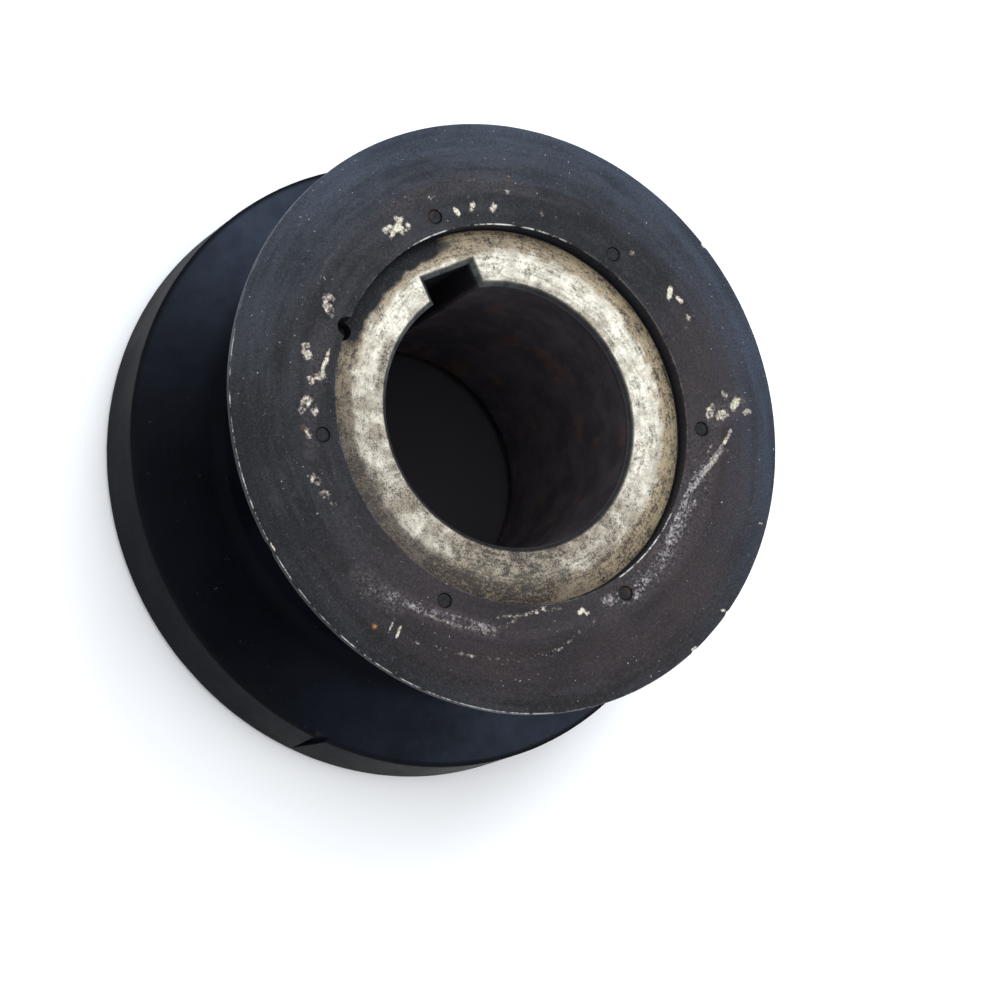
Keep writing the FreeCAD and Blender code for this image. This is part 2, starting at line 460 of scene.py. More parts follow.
# Worn black oxide of the front flange: slate to reddish black, bare scuffs, crust, dust specks and pits.
def makeFrontFinish():
    look = frontFinish
    f = Finish("frontOxide")
    bare, crust, edge = f.fields("wear")
    warm, rust, bevelSheen = f.fields("tint")
    wall, halo, shade = f.fields("grime")
    radius = f.axisDistance()
    broad = f.noise(0.010, 4.0)
    middle = f.noise(0.0022, 4.0, 0.6)
    fine = f.noise(0.00045, 3.0, 0.65)
    grain = f.noise(0.00018, 1.0, 0.6)
    streak = f.streaks(0.009, 0.0011, 4.0)
    hair = f.streaks(0.004, 0.00016, 2.0)
    tone = f.blend([
        (f.spread(broad), 0.30),
        (f.spread(middle), 0.18),
        (f.spread(streak), 0.36),
        (f.spread(fine), 0.16),
    ])
    colour = f.mix(f.step(tone, 0.28, 0.74), look["oxideDark"], look["oxide"])
    colour = f.mix(f.math("MULTIPLY", warm, f.spread(broad, 0.1, 0.6)), colour, look["warmOxide"])
    # Painted sheen: the bevel round clock 45 is painted lighter and bluish.
    colour = f.mix(f.math("MULTIPLY", bevelSheen, f.spread(streak, 0.15, 0.6)), colour, look["blueOxide"])
    # Painted shade: the left of the face and a patch round clock 212 are darkened.
    colour = f.mix(f.math("MULTIPLY", shade, f.spread(streak, 0.9, 0.1)), colour, look["shade"])
    colour = f.mix(f.step(grain, 0.48, 0.72, 0.0, 0.03), colour, look["dust"])
    colour = f.mix(f.step(grain, 0.46, 0.30, 0.0, 0.45), colour, look["pit"])
    dots = f.noise(0.00022, 0.0, 0.3)
    dotMask = f.math("MULTIPLY", f.step(dots, 0.825, 0.87), f.spread(middle, 0.40, 0.52))
    colour = f.mix(f.math("MULTIPLY", dotMask, 0.75), colour, look["dust"])
    pitNoise = f.noise(0.00055, 1.0, 0.5, distortion=0.6)
    pits = f.step(pitNoise, 0.235, 0.19)
    colour = f.mix(f.step(pitNoise, 0.27, 0.235, 0.0, 0.12), colour, look["dust"])
    colour = f.mix(pits, colour, look["pit"])
    rustMask = f.step(f.blend([(rust, 0.8), (f.spread(fine), 0.35)]), 0.42, 0.75)
    colour = f.mix(f.math("MULTIPLY", rustMask, 0.75), colour, look["rust"])
    orangeMask = f.step(f.blend([(rust, 1.0), (f.spread(fine), 0.4)]), 1.15, 1.35)
    colour = f.mix(orangeMask, colour, look["orange"])
    crustLump = f.spread(f.noise(0.00060, 5.0, 0.75, distortion=0.6))
    crustFine = f.spread(f.noise(0.00028, 3.0, 0.7))
    crustSum = f.blend([(crust, 0.80), (crustLump, 0.42), (crustFine, 0.34)])
    crustMask = f.math("MULTIPLY", f.step(crustSum, 0.86, 1.22), f.step(crust, 0.02, 0.12))
    crustCloud = f.math("MULTIPLY", crust, f.step(crustLump, 0.10, 0.80, 0.35, 1.0))
    colour = f.mix(f.math("MULTIPLY", crustCloud, 0.85), colour, look["crustBase"])
    crustShade = f.math("MULTIPLY", f.step(crust, 0.10, 0.55), f.step(crustFine, 0.34, 0.10))
    colour = f.mix(f.math("MULTIPLY", crustShade, 0.5), colour, look["crustDark"])
    colour = f.mix(f.math("MULTIPLY", crustMask, 0.80), colour, look["crust"])
    bareSum = f.blend([(bare, 1.15), (f.spread(fine), 0.46), (f.spread(middle), 0.14), (crustFine, 0.16)])
    bareMask = f.math("MULTIPLY", f.step(bareSum, 0.80, 1.10), f.step(bare, 0.02, 0.12))
    bareColour = f.mix(f.step(bareSum, 0.98, 1.32), look["pinkish"], look["cream"])
    bareColour = f.mix(f.math("MULTIPLY", f.step(grain, 0.52, 0.38), 0.5), bareColour, look["crustDark"])
    colour = f.mix(f.math("MULTIPLY", bareMask, 0.9), colour, bareColour)
    colour = f.mix(f.math("MULTIPLY", halo, f.spread(fine, 0.25, 0.55)), colour, look["pit"])
    # Painted shade: the hole wall and the groove side are painted near black.
    colour = f.mix(wall, colour, look["wall"])
    # Bright line on the rim and hole edges: partly worn bare edge, partly painted highlight, strongest on the
    # left rim.
    fromRim = f.ringDistance(frontHigh[0] - 0.00004, frontHigh[2] - frontShape["bevelDrop"])
    rimLine = f.step(fromRim, 0.00021, 0.00011)
    holeLine = f.step(f.ringDistance(sleeveRadius + 0.00006, frontHigh[2] - 0.00012), 0.00022, 0.00010)
    broken = f.step(f.blend([(f.spread(fine), 0.4), (f.spread(middle), 0.6)]), 0.30, 0.72)
    line = f.math("MULTIPLY", f.math("MULTIPLY", edge, f.math("MAXIMUM", rimLine, holeLine)), broken)
    colour = f.mix(line, colour, look["edgeLine"])
    height = f.blend([(hair, 0.20), (streak, 0.35), (fine, 0.40), (grain, 0.18), (middle, 0.5)])
    height = f.blend([(height, 1.0), (crustMask, 1.0), (bareMask, -0.35), (pits, -0.8), (crustShade, -0.7)])
    return f.close({
        "Base Color": colour,
        "Roughness": f.step(tone, 0.1, 0.9, 0.58, 0.44),
        "Metallic": f.math("MULTIPLY", bareMask, 0.25),
        # The painted shade also takes the reflection off the hole wall and the groove side.
        "Specular IOR Level": f.math("MULTIPLY", f.math("SUBTRACT", 1.0, wall), 0.15),
        "Normal": f.bump(height, 0.00018),
    })


# Painted shade: the rear flange and groove oxide is made far darker than the front flange's.
rearFinish = {
    "oxide": (0.0030, 0.0036, 0.0062),
    "oxideDark": (0.0014, 0.0018, 0.0032),
    "rimGrey": (0.0078, 0.0084, 0.0102),
    # Painted sheen: lighter bluish colour for the groove flank.
    "haze": (0.035, 0.043, 0.062),
    "dust": (0.10, 0.10, 0.105),
    "rust": (0.026, 0.015, 0.010),
}


# Satin black oxide of the rear flange and the groove, painted far darker than the front flange's oxide as
# shade in the groove, greyer and more rubbed on the rim.
def makeRearFinish(name):
    look = rearFinish
    f = Finish(name)
    rub, rust, haze = f.fields("wear")
    radius = f.axisDistance()
    broad = f.noise(0.012, 5.0)
    middle = f.noise(0.002, 4.0, 0.6)
    fine = f.noise(0.0005, 4.0, 0.7)
    colour = f.mix(f.step(broad, 0.35, 0.66), look["oxideDark"], look["oxide"])
    # Painted sheen: the groove flank is painted lighter and bluish, with strength by clock angle.
    flankSheenMask = f.math("MULTIPLY", haze, f.step(f.blend([(broad, 0.4), (middle, 0.6)]), 0.25, 0.70, 0.55, 1.0))
    colour = f.mix(flankSheenMask, colour, look["haze"])
    rubMask = f.math("MULTIPLY", rub, f.step(f.blend([(fine, 0.5), (middle, 0.5)]), 0.25, 0.62, 0.35, 1.0))
    colour = f.mix(rubMask, colour, look["rimGrey"])
    rustMask = f.step(f.blend([(rust, 0.8), (fine, 0.6)]), 0.7, 0.95)
    colour = f.mix(rustMask, colour, look["rust"])
    dots = f.noise(0.00025, 0.0, 0.3)
    colour = f.mix(f.math("MULTIPLY", f.step(dots, 0.84, 0.88), 0.20), colour, look["dust"])
    rings = f.noiseAlong(radius, 0.0005)
    height = f.blend([(rings, 0.35), (fine, 0.35), (middle, 0.5)])
    return f.close({
        "Base Color": colour,
        "Roughness": f.step(broad, 0.3, 0.7, 0.40, 0.54),
        # Low reflection, part of the painted shade in the groove.
        "Specular IOR Level": 0.02,
        "Normal": f.bump(height, 0.00010),
    })


sleeveFinish = {
    "bright": (0.72, 0.68, 0.575),
    "dull": (0.42, 0.385, 0.31),
    "tan": (0.190, 0.150, 0.104),
    "speckle": (0.085, 0.066, 0.050),
    "brown": (0.088, 0.066, 0.052),
    "darkBrown": (0.020, 0.015, 0.012),
    "gold": (0.33, 0.255, 0.155),
    "black": (0.012, 0.0125, 0.016),
    # Painted light for the lit part of the bore's chamfer, and painted shade for the bore, the keyway and the
    # rest of the chamfer; the bore's rust is real.
    "edgeGrey": (0.060, 0.067, 0.066),
    "bore": (0.058, 0.049, 0.056),
    "boreDark": (0.034, 0.030, 0.034),
    "boreRust": (0.115, 0.058, 0.038),
    "keyDark": (0.010, 0.009, 0.011),
}


# Turned steel of the sleeve: pale and speckled on its face, stained brown outside, with the bore, the keyway
# and the bore's chamfer painted dark as shade, and the chamfer painted lighter round clock 345.
def makeSleeveFinish():
    look = sleeveFinish
    f = Finish("sleeveSteel")
    stain, dirtAndShade, inside = f.fields("wear")
    gold, boreRust, chamfer = f.fields("tint")
    worn, chamferLitShare = f.fields("grime")[:2]
    patch = f.noise(0.0030, 5.0, 0.6)
    middle = f.spread(f.noise(0.0011, 4.0, 0.65))
    fine = f.spread(f.noise(0.00030, 5.0, 0.75))
    grain = f.spread(f.noise(0.00014, 1.0, 0.6))
    streak = f.spread(f.streaks(0.0030, 0.00022, 4.0))
    cloud = f.spread(f.noise(0.0018, 4.0, 0.6, distortion=0.4))
    brightness = f.blend([(f.spread(patch), 0.35), (middle, 0.30), (streak, 0.20), (fine, 0.15)])
    colour = f.mix(f.step(brightness, 0.22, 0.70), look["dull"], look["bright"])
    grit = f.blend([(fine, 0.42), (middle, 0.20), (grain, 0.20), (streak, 0.18)])
    wornMask = f.step(f.blend([(worn, 1.05), (cloud, 0.42), (streak, 0.14), (fine, 0.30)]), 0.52, 1.22)
    colour = f.mix(f.math("MULTIPLY", wornMask, 0.90), colour, look["tan"])
    stainMask = f.step(f.blend([(stain, 1.0), (middle, 0.34), (fine, 0.22)]), 0.42, 1.18)
    goldGrain = f.blend([(middle, 0.45), (streak, 0.25), (fine, 0.30)])
    goldMask = f.math("MULTIPLY", gold, f.step(goldGrain, 0.0, 0.60))
    stainColour = f.mix(goldMask, look["brown"], look["gold"])
    colour = f.mix(f.math("MULTIPLY", stainMask, 0.95), colour, stainColour)
    colour = f.mix(f.step(grit, 0.74, 0.30, 0.0, 0.42), colour, look["speckle"])
    cover = f.blend([(grit, 1.0), (wornMask, -0.26), (stainMask, -0.14), (cloud, 0.14)])
    speckle = f.step(cover, 0.46, 0.10)
    colour = f.mix(f.math("MULTIPLY", speckle, 0.92), colour, look["darkBrown"])
    # Black dirt, and painted shade where the sleeve meets the flange's hole.
    dirtAndShadeMask = f.step(f.blend([(dirtAndShade, 1.0), (fine, 0.30), (middle, 0.30)]), 0.48, 1.06)
    dust = f.step(f.blend([(grain, 0.6), (fine, 0.4)]), 0.62, 0.95, 0.0, 0.34)
    dirtAndShadeColour = f.mix(dust, look["black"], look["brown"])
    colour = f.mix(dirtAndShadeMask, colour, dirtAndShadeColour)
    rustMask = f.step(f.blend([(boreRust, 0.7), (middle, 0.35), (fine, 0.15)]), 0.55, 1.0)
    # Painted shade: the bore wall is painted dark, with rust spots.
    boreColour = f.mix(f.step(patch, 0.35, 0.65), look["boreDark"], look["bore"])
    boreColour = f.mix(f.math("MULTIPLY", rustMask, 0.40), boreColour, look["boreRust"])
    # Painted shade: the keyway is painted near black.
    boreColour = f.mix(stain, boreColour, look["keyDark"])
    # Painted shade on the bore's chamfer, painted lighter round clock 345.
    chamferColour = f.mix(f.step(middle, 0.1, 0.9, 0.3, 1.0), look["keyDark"], look["edgeGrey"])
    chamferColour = f.mix(chamferLitShare, look["keyDark"], chamferColour)
    colour = f.mix(chamfer, colour, chamferColour)
    colour = f.mix(inside, colour, boreColour)
    height = f.blend([(streak, 0.12), (fine, 0.30), (grain, 0.10), (wornMask, -0.3)])
    height = f.blend([(height, 1.0), (dirtAndShadeMask, 0.3), (speckle, -0.4)])
    dark = f.math("MAXIMUM", dirtAndShadeMask, f.math("MAXIMUM", inside, chamfer))
    covered = f.math("MAXIMUM", f.math("MAXIMUM", stainMask, wornMask), dark)
    return f.close({
        "Base Color": colour,
        "Metallic": f.math("MULTIPLY", f.math("SUBTRACT", 1.0, covered), 0.25, clamp=True),
        "Roughness": f.step(patch, 0.3, 0.7, 0.58, 0.46),
        "Specular IOR Level": f.mixNumber(dark, 0.35, 0.12),
        "Normal": f.bump(height, 0.00010),
    })


pinFinish = {
    "steel": (0.0135, 0.0130, 0.0155),
    "rust": (0.036, 0.019, 0.014),
    "black": (0.003, 0.003, 0.004),
}


# Dark steel of the pins, with rust and black specks at random.
def makePinFinish():
    look = pinFinish
    f = Finish("pinSteel")
    broad = f.noise(0.0015, 4.0)
    fine = f.noise(0.0003, 4.0, 0.7)
    colour = f.mix(f.step(fine, 0.35, 0.7), look["black"], look["steel"])
    colour = f.mix(f.step(broad, 0.55, 0.72), colour, look["rust"])
    return f.close({
        "Base Color": colour,
        "Specular IOR Level": 0.15,
        "Roughness": f.step(broad, 0.3, 0.7, 0.46, 0.62),
        "Normal": f.bump(fine, 0.00005),
    })


screwFinish = {
    "black": (0.016, 0.016, 0.019),
    "worn": (0.16, 0.155, 0.15),
}


# Black set screws, worn a little in patches at random.
def makeScrewFinish():
    look = screwFinish
    f = Finish("screwBlack")
    broad = f.noise(0.002, 4.0)
    fine = f.noise(0.0003, 4.0, 0.7)
    colour = f.mix(f.step(broad, 0.56, 0.75), look["black"], look["worn"])
    return f.close({
        "Base Color": colour,
        "Metallic": 0.6,
        "Roughness": f.step(broad, 0.3, 0.7, 0.35, 0.55),
        "Normal": f.bump(fine, 0.00004),
    })


frontOxide = makeFrontFinish()
rearOxide = makeRearFinish("rearOxide")
sleeveSteel = makeSleeveFinish()
pinSteel = makePinFinish()
screwBlack = makeScrewFinish()
print("finishes made")


pinShape = {
    "endRound": 0.00028,
    "endDish": 0.00006,
    "steps": 48,
}


# Straight pin where its node's box is: flat sides, rounded ends and a faint dish in each end.
def makePin(node):
    low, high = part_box(node)
    radius = (high[0] - low[0]) / 2
    centre = ((low[0] + high[0]) / 2, (low[1] + high[1]) / 2, 0.0)
    soft = pinShape["endRound"]
    dish = pinShape["endDish"]
    turns = np.linspace(0.0, math.pi / 2, 5)
    roundOff = np.stack([radius - soft + soft * np.sin(turns), soft - soft * np.cos(turns)], axis=1)
    bottom = np.concatenate([[(0.0, dish), (radius * 0.45, dish * 0.6)], roundOff])
    bottom[:, 1] += low[2]
    top = np.concatenate([[(0.0, dish), (radius * 0.45, dish * 0.6)], roundOff])[::-1]
    top[:, 1] = high[2] - top[:, 1]
    outline = np.concatenate([bottom, top])
    piece = turnedMesh(node.replace("_", ""), outline, pinShape["steps"], centre, (0, 0, 1))
    finishPiece(piece, node, pinSteel)


pinNodes = sorted(name for name in frame["nodes"] if "_pin" in name)
for node in pinNodes:
    makePin(node)
print("pins made:", len(pinNodes))

dowelNodes = [name for name in pinNodes if name.startswith("front_pin")]
lockNode = "front_lock_pin"
rearLockNode = "rear_lock_pin"


def middleOf(node):
    low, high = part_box(node)
    return Vector(((low[0] + high[0]) / 2, (low[1] + high[1]) / 2, 0.0))


def halfWidthOf(node):
    low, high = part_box(node)
    return (high[0] - low[0]) / 2


def frontOutline():
    shape = frontShape
    faceZ = frontHigh[2]
    radius = frontHigh[0]
    rimTop = faceZ - shape["bevelDrop"]
    rimLow = rimTop - shape["rimThickness"]
    rootZ = rimLow - (radius - coreRadius) * math.tan(math.radians(grooveShape["flankDegrees"]))
    return roundedOutline([
        (sleeveRadius, frontLow[2], 0.0, 0.004),
        (coreRadius, frontLow[2], 0.0, 0.002),
        (coreRadius, rootZ, grooveShape["rootRadius"], 0.002),
        (radius, rimLow, shape["edgeRound"], 0.0008),
        (radius, rimTop, shape["edgeRound"], shape["faceSpacing"]),
        (shape["bevelStart"], faceZ, 0.0, shape["faceSpacing"]),
        (sleeveRadius, faceZ, shape["holeRound"], 0.003),
    ])


# Ring of one outline all the way round, with its holes cut.
def turnedRing(name, outline, steps):
    clocks = np.repeat((np.arange(steps) * (2 * math.pi / steps))[None, :], len(outline), axis=0)
    radii = np.repeat(outline[:, 0:1], steps, axis=1)
    heights = np.repeat(outline[:, 1:2], steps, axis=1)
    return ringMesh(name, radii, heights, clocks)


# Bare patches on the face: clock, radius, half length along the arc, half width, lean, strength.
barePatches = [
    (349.5, 0.0390, 0.0017, 0.0014, 20, 0.95),
    (349.5, 0.0391, 0.0042, 0.0010, 25, 0.76),
    (349.5, 0.0389, 0.0036, 0.0009, -40, 0.72),
    (350.3, 0.0391, 0.0033, 0.0010, 80, 0.72),
    (346.6, 0.0397, 0.0017, 0.0012, 0, 0.62),
    (352.6, 0.0382, 0.0014, 0.0010, 60, 0.62),
    (319.0, 0.0393, 0.0030, 0.0011, 60, 0.64),
    (320.8, 0.0400, 0.0014, 0.0024, 20, 0.58),
    (317.4, 0.0388, 0.0026, 0.0009, 70, 0.60),
    (304.6, 0.0406, 0.0019, 0.0016, 60, 0.62),
    (306.5, 0.0410, 0.0012, 0.0018, 20, 0.54),
    (303.0, 0.0371, 0.0054, 0.0007, -9, 0.82),
    (299.6, 0.0378, 0.0013, 0.0022, 12, 0.66),
    (298.1, 0.0394, 0.0016, 0.0013, 20, 0.62),
    (292.6, 0.0401, 0.0018, 0.0018, 30, 0.64),
    (290.1, 0.0388, 0.0012, 0.0016, 70, 0.58),
    (290.6, 0.0412, 0.0016, 0.0014, 0, 0.56),
    (284.6, 0.0406, 0.0018, 0.0013, 0, 0.66),
    (273.4, 0.0417, 0.0024, 0.0018, 30, 0.46),
    (269.1, 0.0409, 0.0026, 0.0015, 50, 0.46),
    (266.0, 0.0402, 0.0012, 0.0008, 50, 0.54),
    (8.1, 0.0376, 0.0009, 0.0016, 20, 0.78),
    (13.1, 0.0383, 0.0022, 0.0009, 50, 0.62),
    (19.4, 0.0380, 0.0016, 0.0012, 60, 0.68),
    (2.2, 0.0412, 0.0030, 0.0009, 0, 0.44),
    (24.0, 0.0410, 0.0012, 0.0010, 0, 0.48),
    (34.0, 0.0384, 0.0008, 0.0012, 20, 0.56),
    (62.0, 0.0405, 0.0012, 0.0010, 20, 0.52),
    (76.1, 0.0412, 0.0010, 0.0024, 40, 0.74),
    (79.2, 0.0420, 0.0016, 0.0010, 10, 0.66),
    (84.2, 0.0415, 0.0014, 0.0009, 0, 0.62),
    (109.5, 0.0398, 0.0014, 0.0026, 60, 0.66),
    (110.3, 0.0423, 0.0016, 0.0026, 20, 0.66),
    (107.4, 0.0456, 0.0014, 0.0028, 50, 0.66),
    (109.5, 0.0481, 0.0012, 0.0018, 0, 0.60),
    (105.0, 0.0436, 0.0012, 0.0012, 0, 0.56),
    (185.9, 0.0372, 0.0013, 0.0008, 20, 0.88),
    (184.3, 0.0378, 0.0009, 0.0007, 0, 0.66),
    (234.3, 0.0470, 0.0005, 0.0022, 8, 0.82),
    (236.2, 0.0471, 0.0004, 0.0019, 8, 0.74),
    # The last five patches, on the rim, are bare metal at the chips and partly painted glints.
    (132.8, 0.0526, 0.0004, 0.0009, 20, 0.62),
    (153.2, 0.0531, 0.0005, 0.0011, 40, 0.66),
    (163.7, 0.0537, 0.0011, 0.0007, 0, 0.80),
    (73.0, 0.0538, 0.0011, 0.0005, 0, 0.70),
    (264.0, 0.0538, 0.0016, 0.0004, 0, 0.72),
]

# Scratch lines on the face as (half width, strength, stations of clock and radius).
scratchLines = [
    (
        0.0006, 0.50,
        [(230, 0.0416), (222, 0.0411), (213, 0.0403), (209, 0.0388), (205, 0.0370), (197, 0.0352)],
    ),
    (
        0.0007, 0.38,
        [(231, 0.0472), (217, 0.0454), (206, 0.0449), (195, 0.0430), (186, 0.0402), (178, 0.0394)],
    ),
    (0.0007, 0.60, [(127, 0.0388), (121, 0.0412), (114, 0.0440)]),
    (0.0005, 0.42, [(131, 0.0372), (124, 0.0384), (118, 0.0400)]),
    (0.0006, 0.44, [(191, 0.0358), (200, 0.0362), (212, 0.0376)]),
    (0.0005, 0.30, [(318, 0.0428), (330, 0.0433), (342, 0.0434)]),
    (0.0005, 0.26, [(352, 0.0432), (4, 0.0434), (16, 0.0432)]),
    (0.0004, 0.30, [(296, 0.0366), (304, 0.0362), (314, 0.0358)]),
]

crustLines = [
    (0.0024, 0.72, [(177, 0.0372), (169, 0.0388), (159, 0.0381), (148, 0.0376), (136, 0.0376)]),
    (0.0014, 0.85, [(150, 0.0366), (138, 0.0364), (127, 0.0374)]),
    (0.0011, 0.95, [(131, 0.0374), (125, 0.0392), (119, 0.0420)]),
    (0.0030, 0.48, [(112, 0.0400), (109, 0.0430), (107, 0.0465)]),
    (0.0034, 0.52, [(248, 0.0440), (243, 0.0436), (238, 0.0426)]),
    (0.0021, 0.72, [(240, 0.0427), (230, 0.0411), (221, 0.0404), (213, 0.0402)]),
    (0.0012, 0.24, [(208, 0.0404), (196, 0.0398), (186, 0.0385)]),
    (0.0020, 0.34, [(350, 0.0420), (2, 0.0428), (14, 0.0430), (30, 0.0420)]),
    (0.0022, 0.34, [(312, 0.0384), (300, 0.0384), (290, 0.0396), (280, 0.0408)]),
]


# Where the wear and the painted shade, sheen and highlight of the front flange lie: sectors are (clock, full
# degrees, none degrees), bands are (from, to) in metres of radius, a rust spot is (strength, oval), and the
# rest are strengths.
frontWear = {
    "gritSector": (146.0, 22.0, 46.0),
    "gritRadius": 0.0378,
    "gritBand": (0.0022, 0.0044),
    "grit": 0.45,
    # The bright rim line, partly painted highlight, is strongest in this sector.
    "rimLineSector": (250.0, 42.0, 62.0),
    "rimBand": (0.050, 0.052),
    "holeLineSectors": ((18.0, 18.0, 34.0), (160.0, 12.0, 28.0)),
    "holeBand": (0.036, 0.037),
    "warmSector": (168.0, 55.0, 115.0),
    "warmBand": (0.047, 0.053),
    "innerWarmBand": (0.042, 0.046),
    # Painted sheen: sector and bands of the bluish bevel.
    "blueSector": (45.0, 55.0, 125.0),
    "blueBands": ((0.0415, 0.0450), (0.0450, 0.0530)),
    "rustSpots": (
        (1.3, (239.3, 0.0487, 0.0009, 0.0009)),
        (0.8, (286.0, 0.0412, 0.0012, 0.0010)),
        (0.7, (24.2, 0.0433, 0.0014, 0.0010)),
    ),
    "speckleSector": (195.0, 30.0, 60.0),
    "speckleBand": (0.040, 0.043),
    "speckle": 0.30,
    # Painted shade: where the face is darkened on the left and round clock 212.
    "leftSector": (268.0, 38.0, 78.0),
    "leftBand": (0.0410, 0.0460),
    "lowSector": (212.0, 8.0, 26.0),
    "lowBand": (0.046, 0.050),
}


# Bare metal, crust and the bright line along the edges, which is partly worn bare edge and partly painted
# highlight.
def frontWearFields(points, radii, clocks, onFace, ragged):
    look = frontWear
    bare = np.zeros(len(points))
    for clock, radius, halfAlong, halfOut, lean, strength in barePatches:
        bare = np.maximum(bare, ovalPatch(points, clock, radius, halfAlong, halfOut, lean) * strength)
    for halfWidth, strength, stations in scratchLines:
        bare = np.maximum(bare, softLine(points, stations, halfWidth) * strength)
    bare = bare * (0.70 + 0.6 * ragged) * onFace
    crust = np.zeros(len(points))
    for halfWidth, strength, stations in crustLines:
        crust = np.maximum(crust, softLine(points, stations, halfWidth) * strength)
    fromGrit = np.abs(radii - look["gritRadius"])
    grit = sector(clocks, *look["gritSector"]) * fadeOut(fromGrit, *look["gritBand"])
    crust = np.maximum(crust, look["grit"] * grit) * (0.75 + 0.5 * ragged) * onFace
    # The edge field is partly worn bare edge and partly painted highlight.
    edge = fade(radii, *look["rimBand"]) * (0.12 + 0.88 * sector(clocks, *look["rimLineSector"]))
    worn = np.maximum(*[sector(clocks, *place) for place in look["holeLineSectors"]])
    edge = np.maximum(edge, fadeOut(radii, *look["holeBand"]) * (0.08 + 0.85 * worn))
    return [bare, crust, edge * (0.5 + 1.0 * layeredNoise(points, 0.004, 23, 3))]


# Warm and rusty tints, and a painted bluish sheen on the bevel.
def frontTintFields(points, radii, clocks, ragged):
    look = frontWear
    warm = sector(clocks, *look["warmSector"]) * (1.0 - 0.85 * fade(radii, *look["warmBand"]))
    warm = warm * (0.7 + 0.6 * layeredNoise(points, 0.012, 31, 3))
    inner = 0.35 * fadeOut(radii, *look["innerWarmBand"]) * layeredNoise(points, 0.009, 37, 3)
    # Painted sheen: lighter bluish bevel round clock 45, stored with the tints.
    bevelSheen = 0.35 * fade(radii, *look["blueBands"][0]) + 0.65 * fade(radii, *look["blueBands"][1])
    bevelSheen = bevelSheen * sector(clocks, *look["blueSector"]) * (0.75 + 0.5 * layeredNoise(points, 0.008, 43, 4))
    speckle = sector(clocks, *look["speckleSector"]) * fade(radii, *look["speckleBand"])
    rust = look["speckle"] * speckle * (0.6 + 0.6 * ragged)
    for strength, spot in look["rustSpots"]:
        rust = np.maximum(rust, strength * ovalPatch(points, *spot))
    return [np.maximum(warm, inner), rust, bevelSheen]


# Distance of each point from the side of a pin, negative inside it.
def gapToPin(points, node):
    centre = middleOf(node)
    return np.hypot(points[:, 0] - centre.x, points[:, 1] - centre.y) - halfWidthOf(node)


# Painted shade on the hole wall and the groove side, dark rings round the dowels, and painted shade on the
# left of the face and round clock 212.
def frontGrimeAndShadeFields(points, radii, clocks, onFace):
    look = frontWear
    down = frontHigh[2] - points[:, 2]
    halo = np.zeros(len(points))
    for node in dowelNodes:
        halo = np.maximum(halo, fadeOut(gapToPin(points, node), 0.00005, 0.00050))
    # Painted shade on the hole wall below the face, and on the flange's underside in the groove.
    wall = fadeOut(radii, sleeveRadius + 0.0001, sleeveRadius + 0.0002) * fade(down, 0.0002, 0.0007)
    wall = np.maximum(wall, fade(down, 0.0024, 0.0030))
    # Painted shade: the left of the face is darker, as is a patch round clock 212 inside radius 46 to 50 mm.
    shade = sector(clocks, *look["leftSector"]) * (0.32 + 0.46 * fade(radii, *look["leftBand"]))
    shade = shade * (0.75 + 0.5 * layeredNoise(points, 0.007, 49, 3))
    low = 0.42 * sector(clocks, *look["lowSector"]) * fadeOut(radii, *look["lowBand"])
    return [wall, 0.8 * halo * onFace, np.maximum(shade, low)]


def frontFields(points):
    radii = radiusOf(points)
    clocks = clockOf(points)
    onFace = fade(points[:, 2], frontHigh[2] - 0.0017, frontHigh[2] - 0.0014)
    ragged = layeredNoise(points, 0.0022, 11, 4)
    wear = frontWearFields(points, radii, clocks, onFace, ragged)
    tint = frontTintFields(points, radii, clocks, ragged)
    return wear, tint, frontGrimeAndShadeFields(points, radii, clocks, onFace)


# Heights and sizes of the marks in the front flange's surface, in metres, with their clock angles.
frontDents = {
    "sink": 0.00006,
    "dowelSink": 0.00006,
    "swell": 0.00006,
    "crustRise": 0.00008,
    "nick": (264.0, 0.6, 1.8),
    "nickDepth": 0.00022,
    "chipClocks": (73.0, 153.0, 164.0, 190.0),
    "chipDepth": 0.00016,
    "rimUneven": 0.00006,
    "knock": (86.5, 0.0350, 0.0011, 0.0012),
    "knockDepth": 0.00035,
}


# Sinks and dents of the face: a soft ring round each dowel, a low swell, raised crust, and small knocks
# on the rim.
def frontRelief(points, wear):
    shape = frontDents
    radii = radiusOf(points)
    clocks = clockOf(points)
    onFace = fade(points[:, 2], frontHigh[2] - 0.0016, frontHigh[2] - 0.0013)
    drop = np.full(len(points), shape["sink"])
    for node in dowelNodes:
        drop += shape["dowelSink"] * fadeOut(np.abs(gapToPin(points, node) - 0.0003), 0.0, 0.0005)
    drop += shape["swell"] * layeredNoise(points, 0.006, 41, 4)
    drop -= shape["crustRise"] * wear[1] * fade(layeredNoise(points, 0.0012, 45, 3), 0.4, 0.65)
    drop += shape["swell"] * wear[0]
    chips = sum(sector(clocks, clock, 0.2, 0.7) for clock in shape["chipClocks"])
    rim = fade(radii, frontHigh[0] - 0.0012, frontHigh[0])
    points = points.copy()
    knock = ovalPatch(points, *shape["knock"])
    points[:, 2] -= (np.maximum(drop, 0.0) + shape["knockDepth"] * knock) * onFace
    shrink = (shape["nickDepth"] * sector(clocks, *shape["nick"]) + shape["chipDepth"] * chips) * rim
    shrink += shape["rimUneven"] * rim * layeredNoise(points, 0.003, 47, 3)
    points[:, :2] *= (1.0 - shrink / np.maximum(radii, 0.001))[:, None]
    return points


# Play of the pins and screws in their holes, how far a cutter passes its hole, and steps round a cutter.
holeFit = {"pinPlay": 0.00004, "screwPlay": 0.00005, "overrun": 0.001, "pinSteps": 48, "screwSteps": 64}


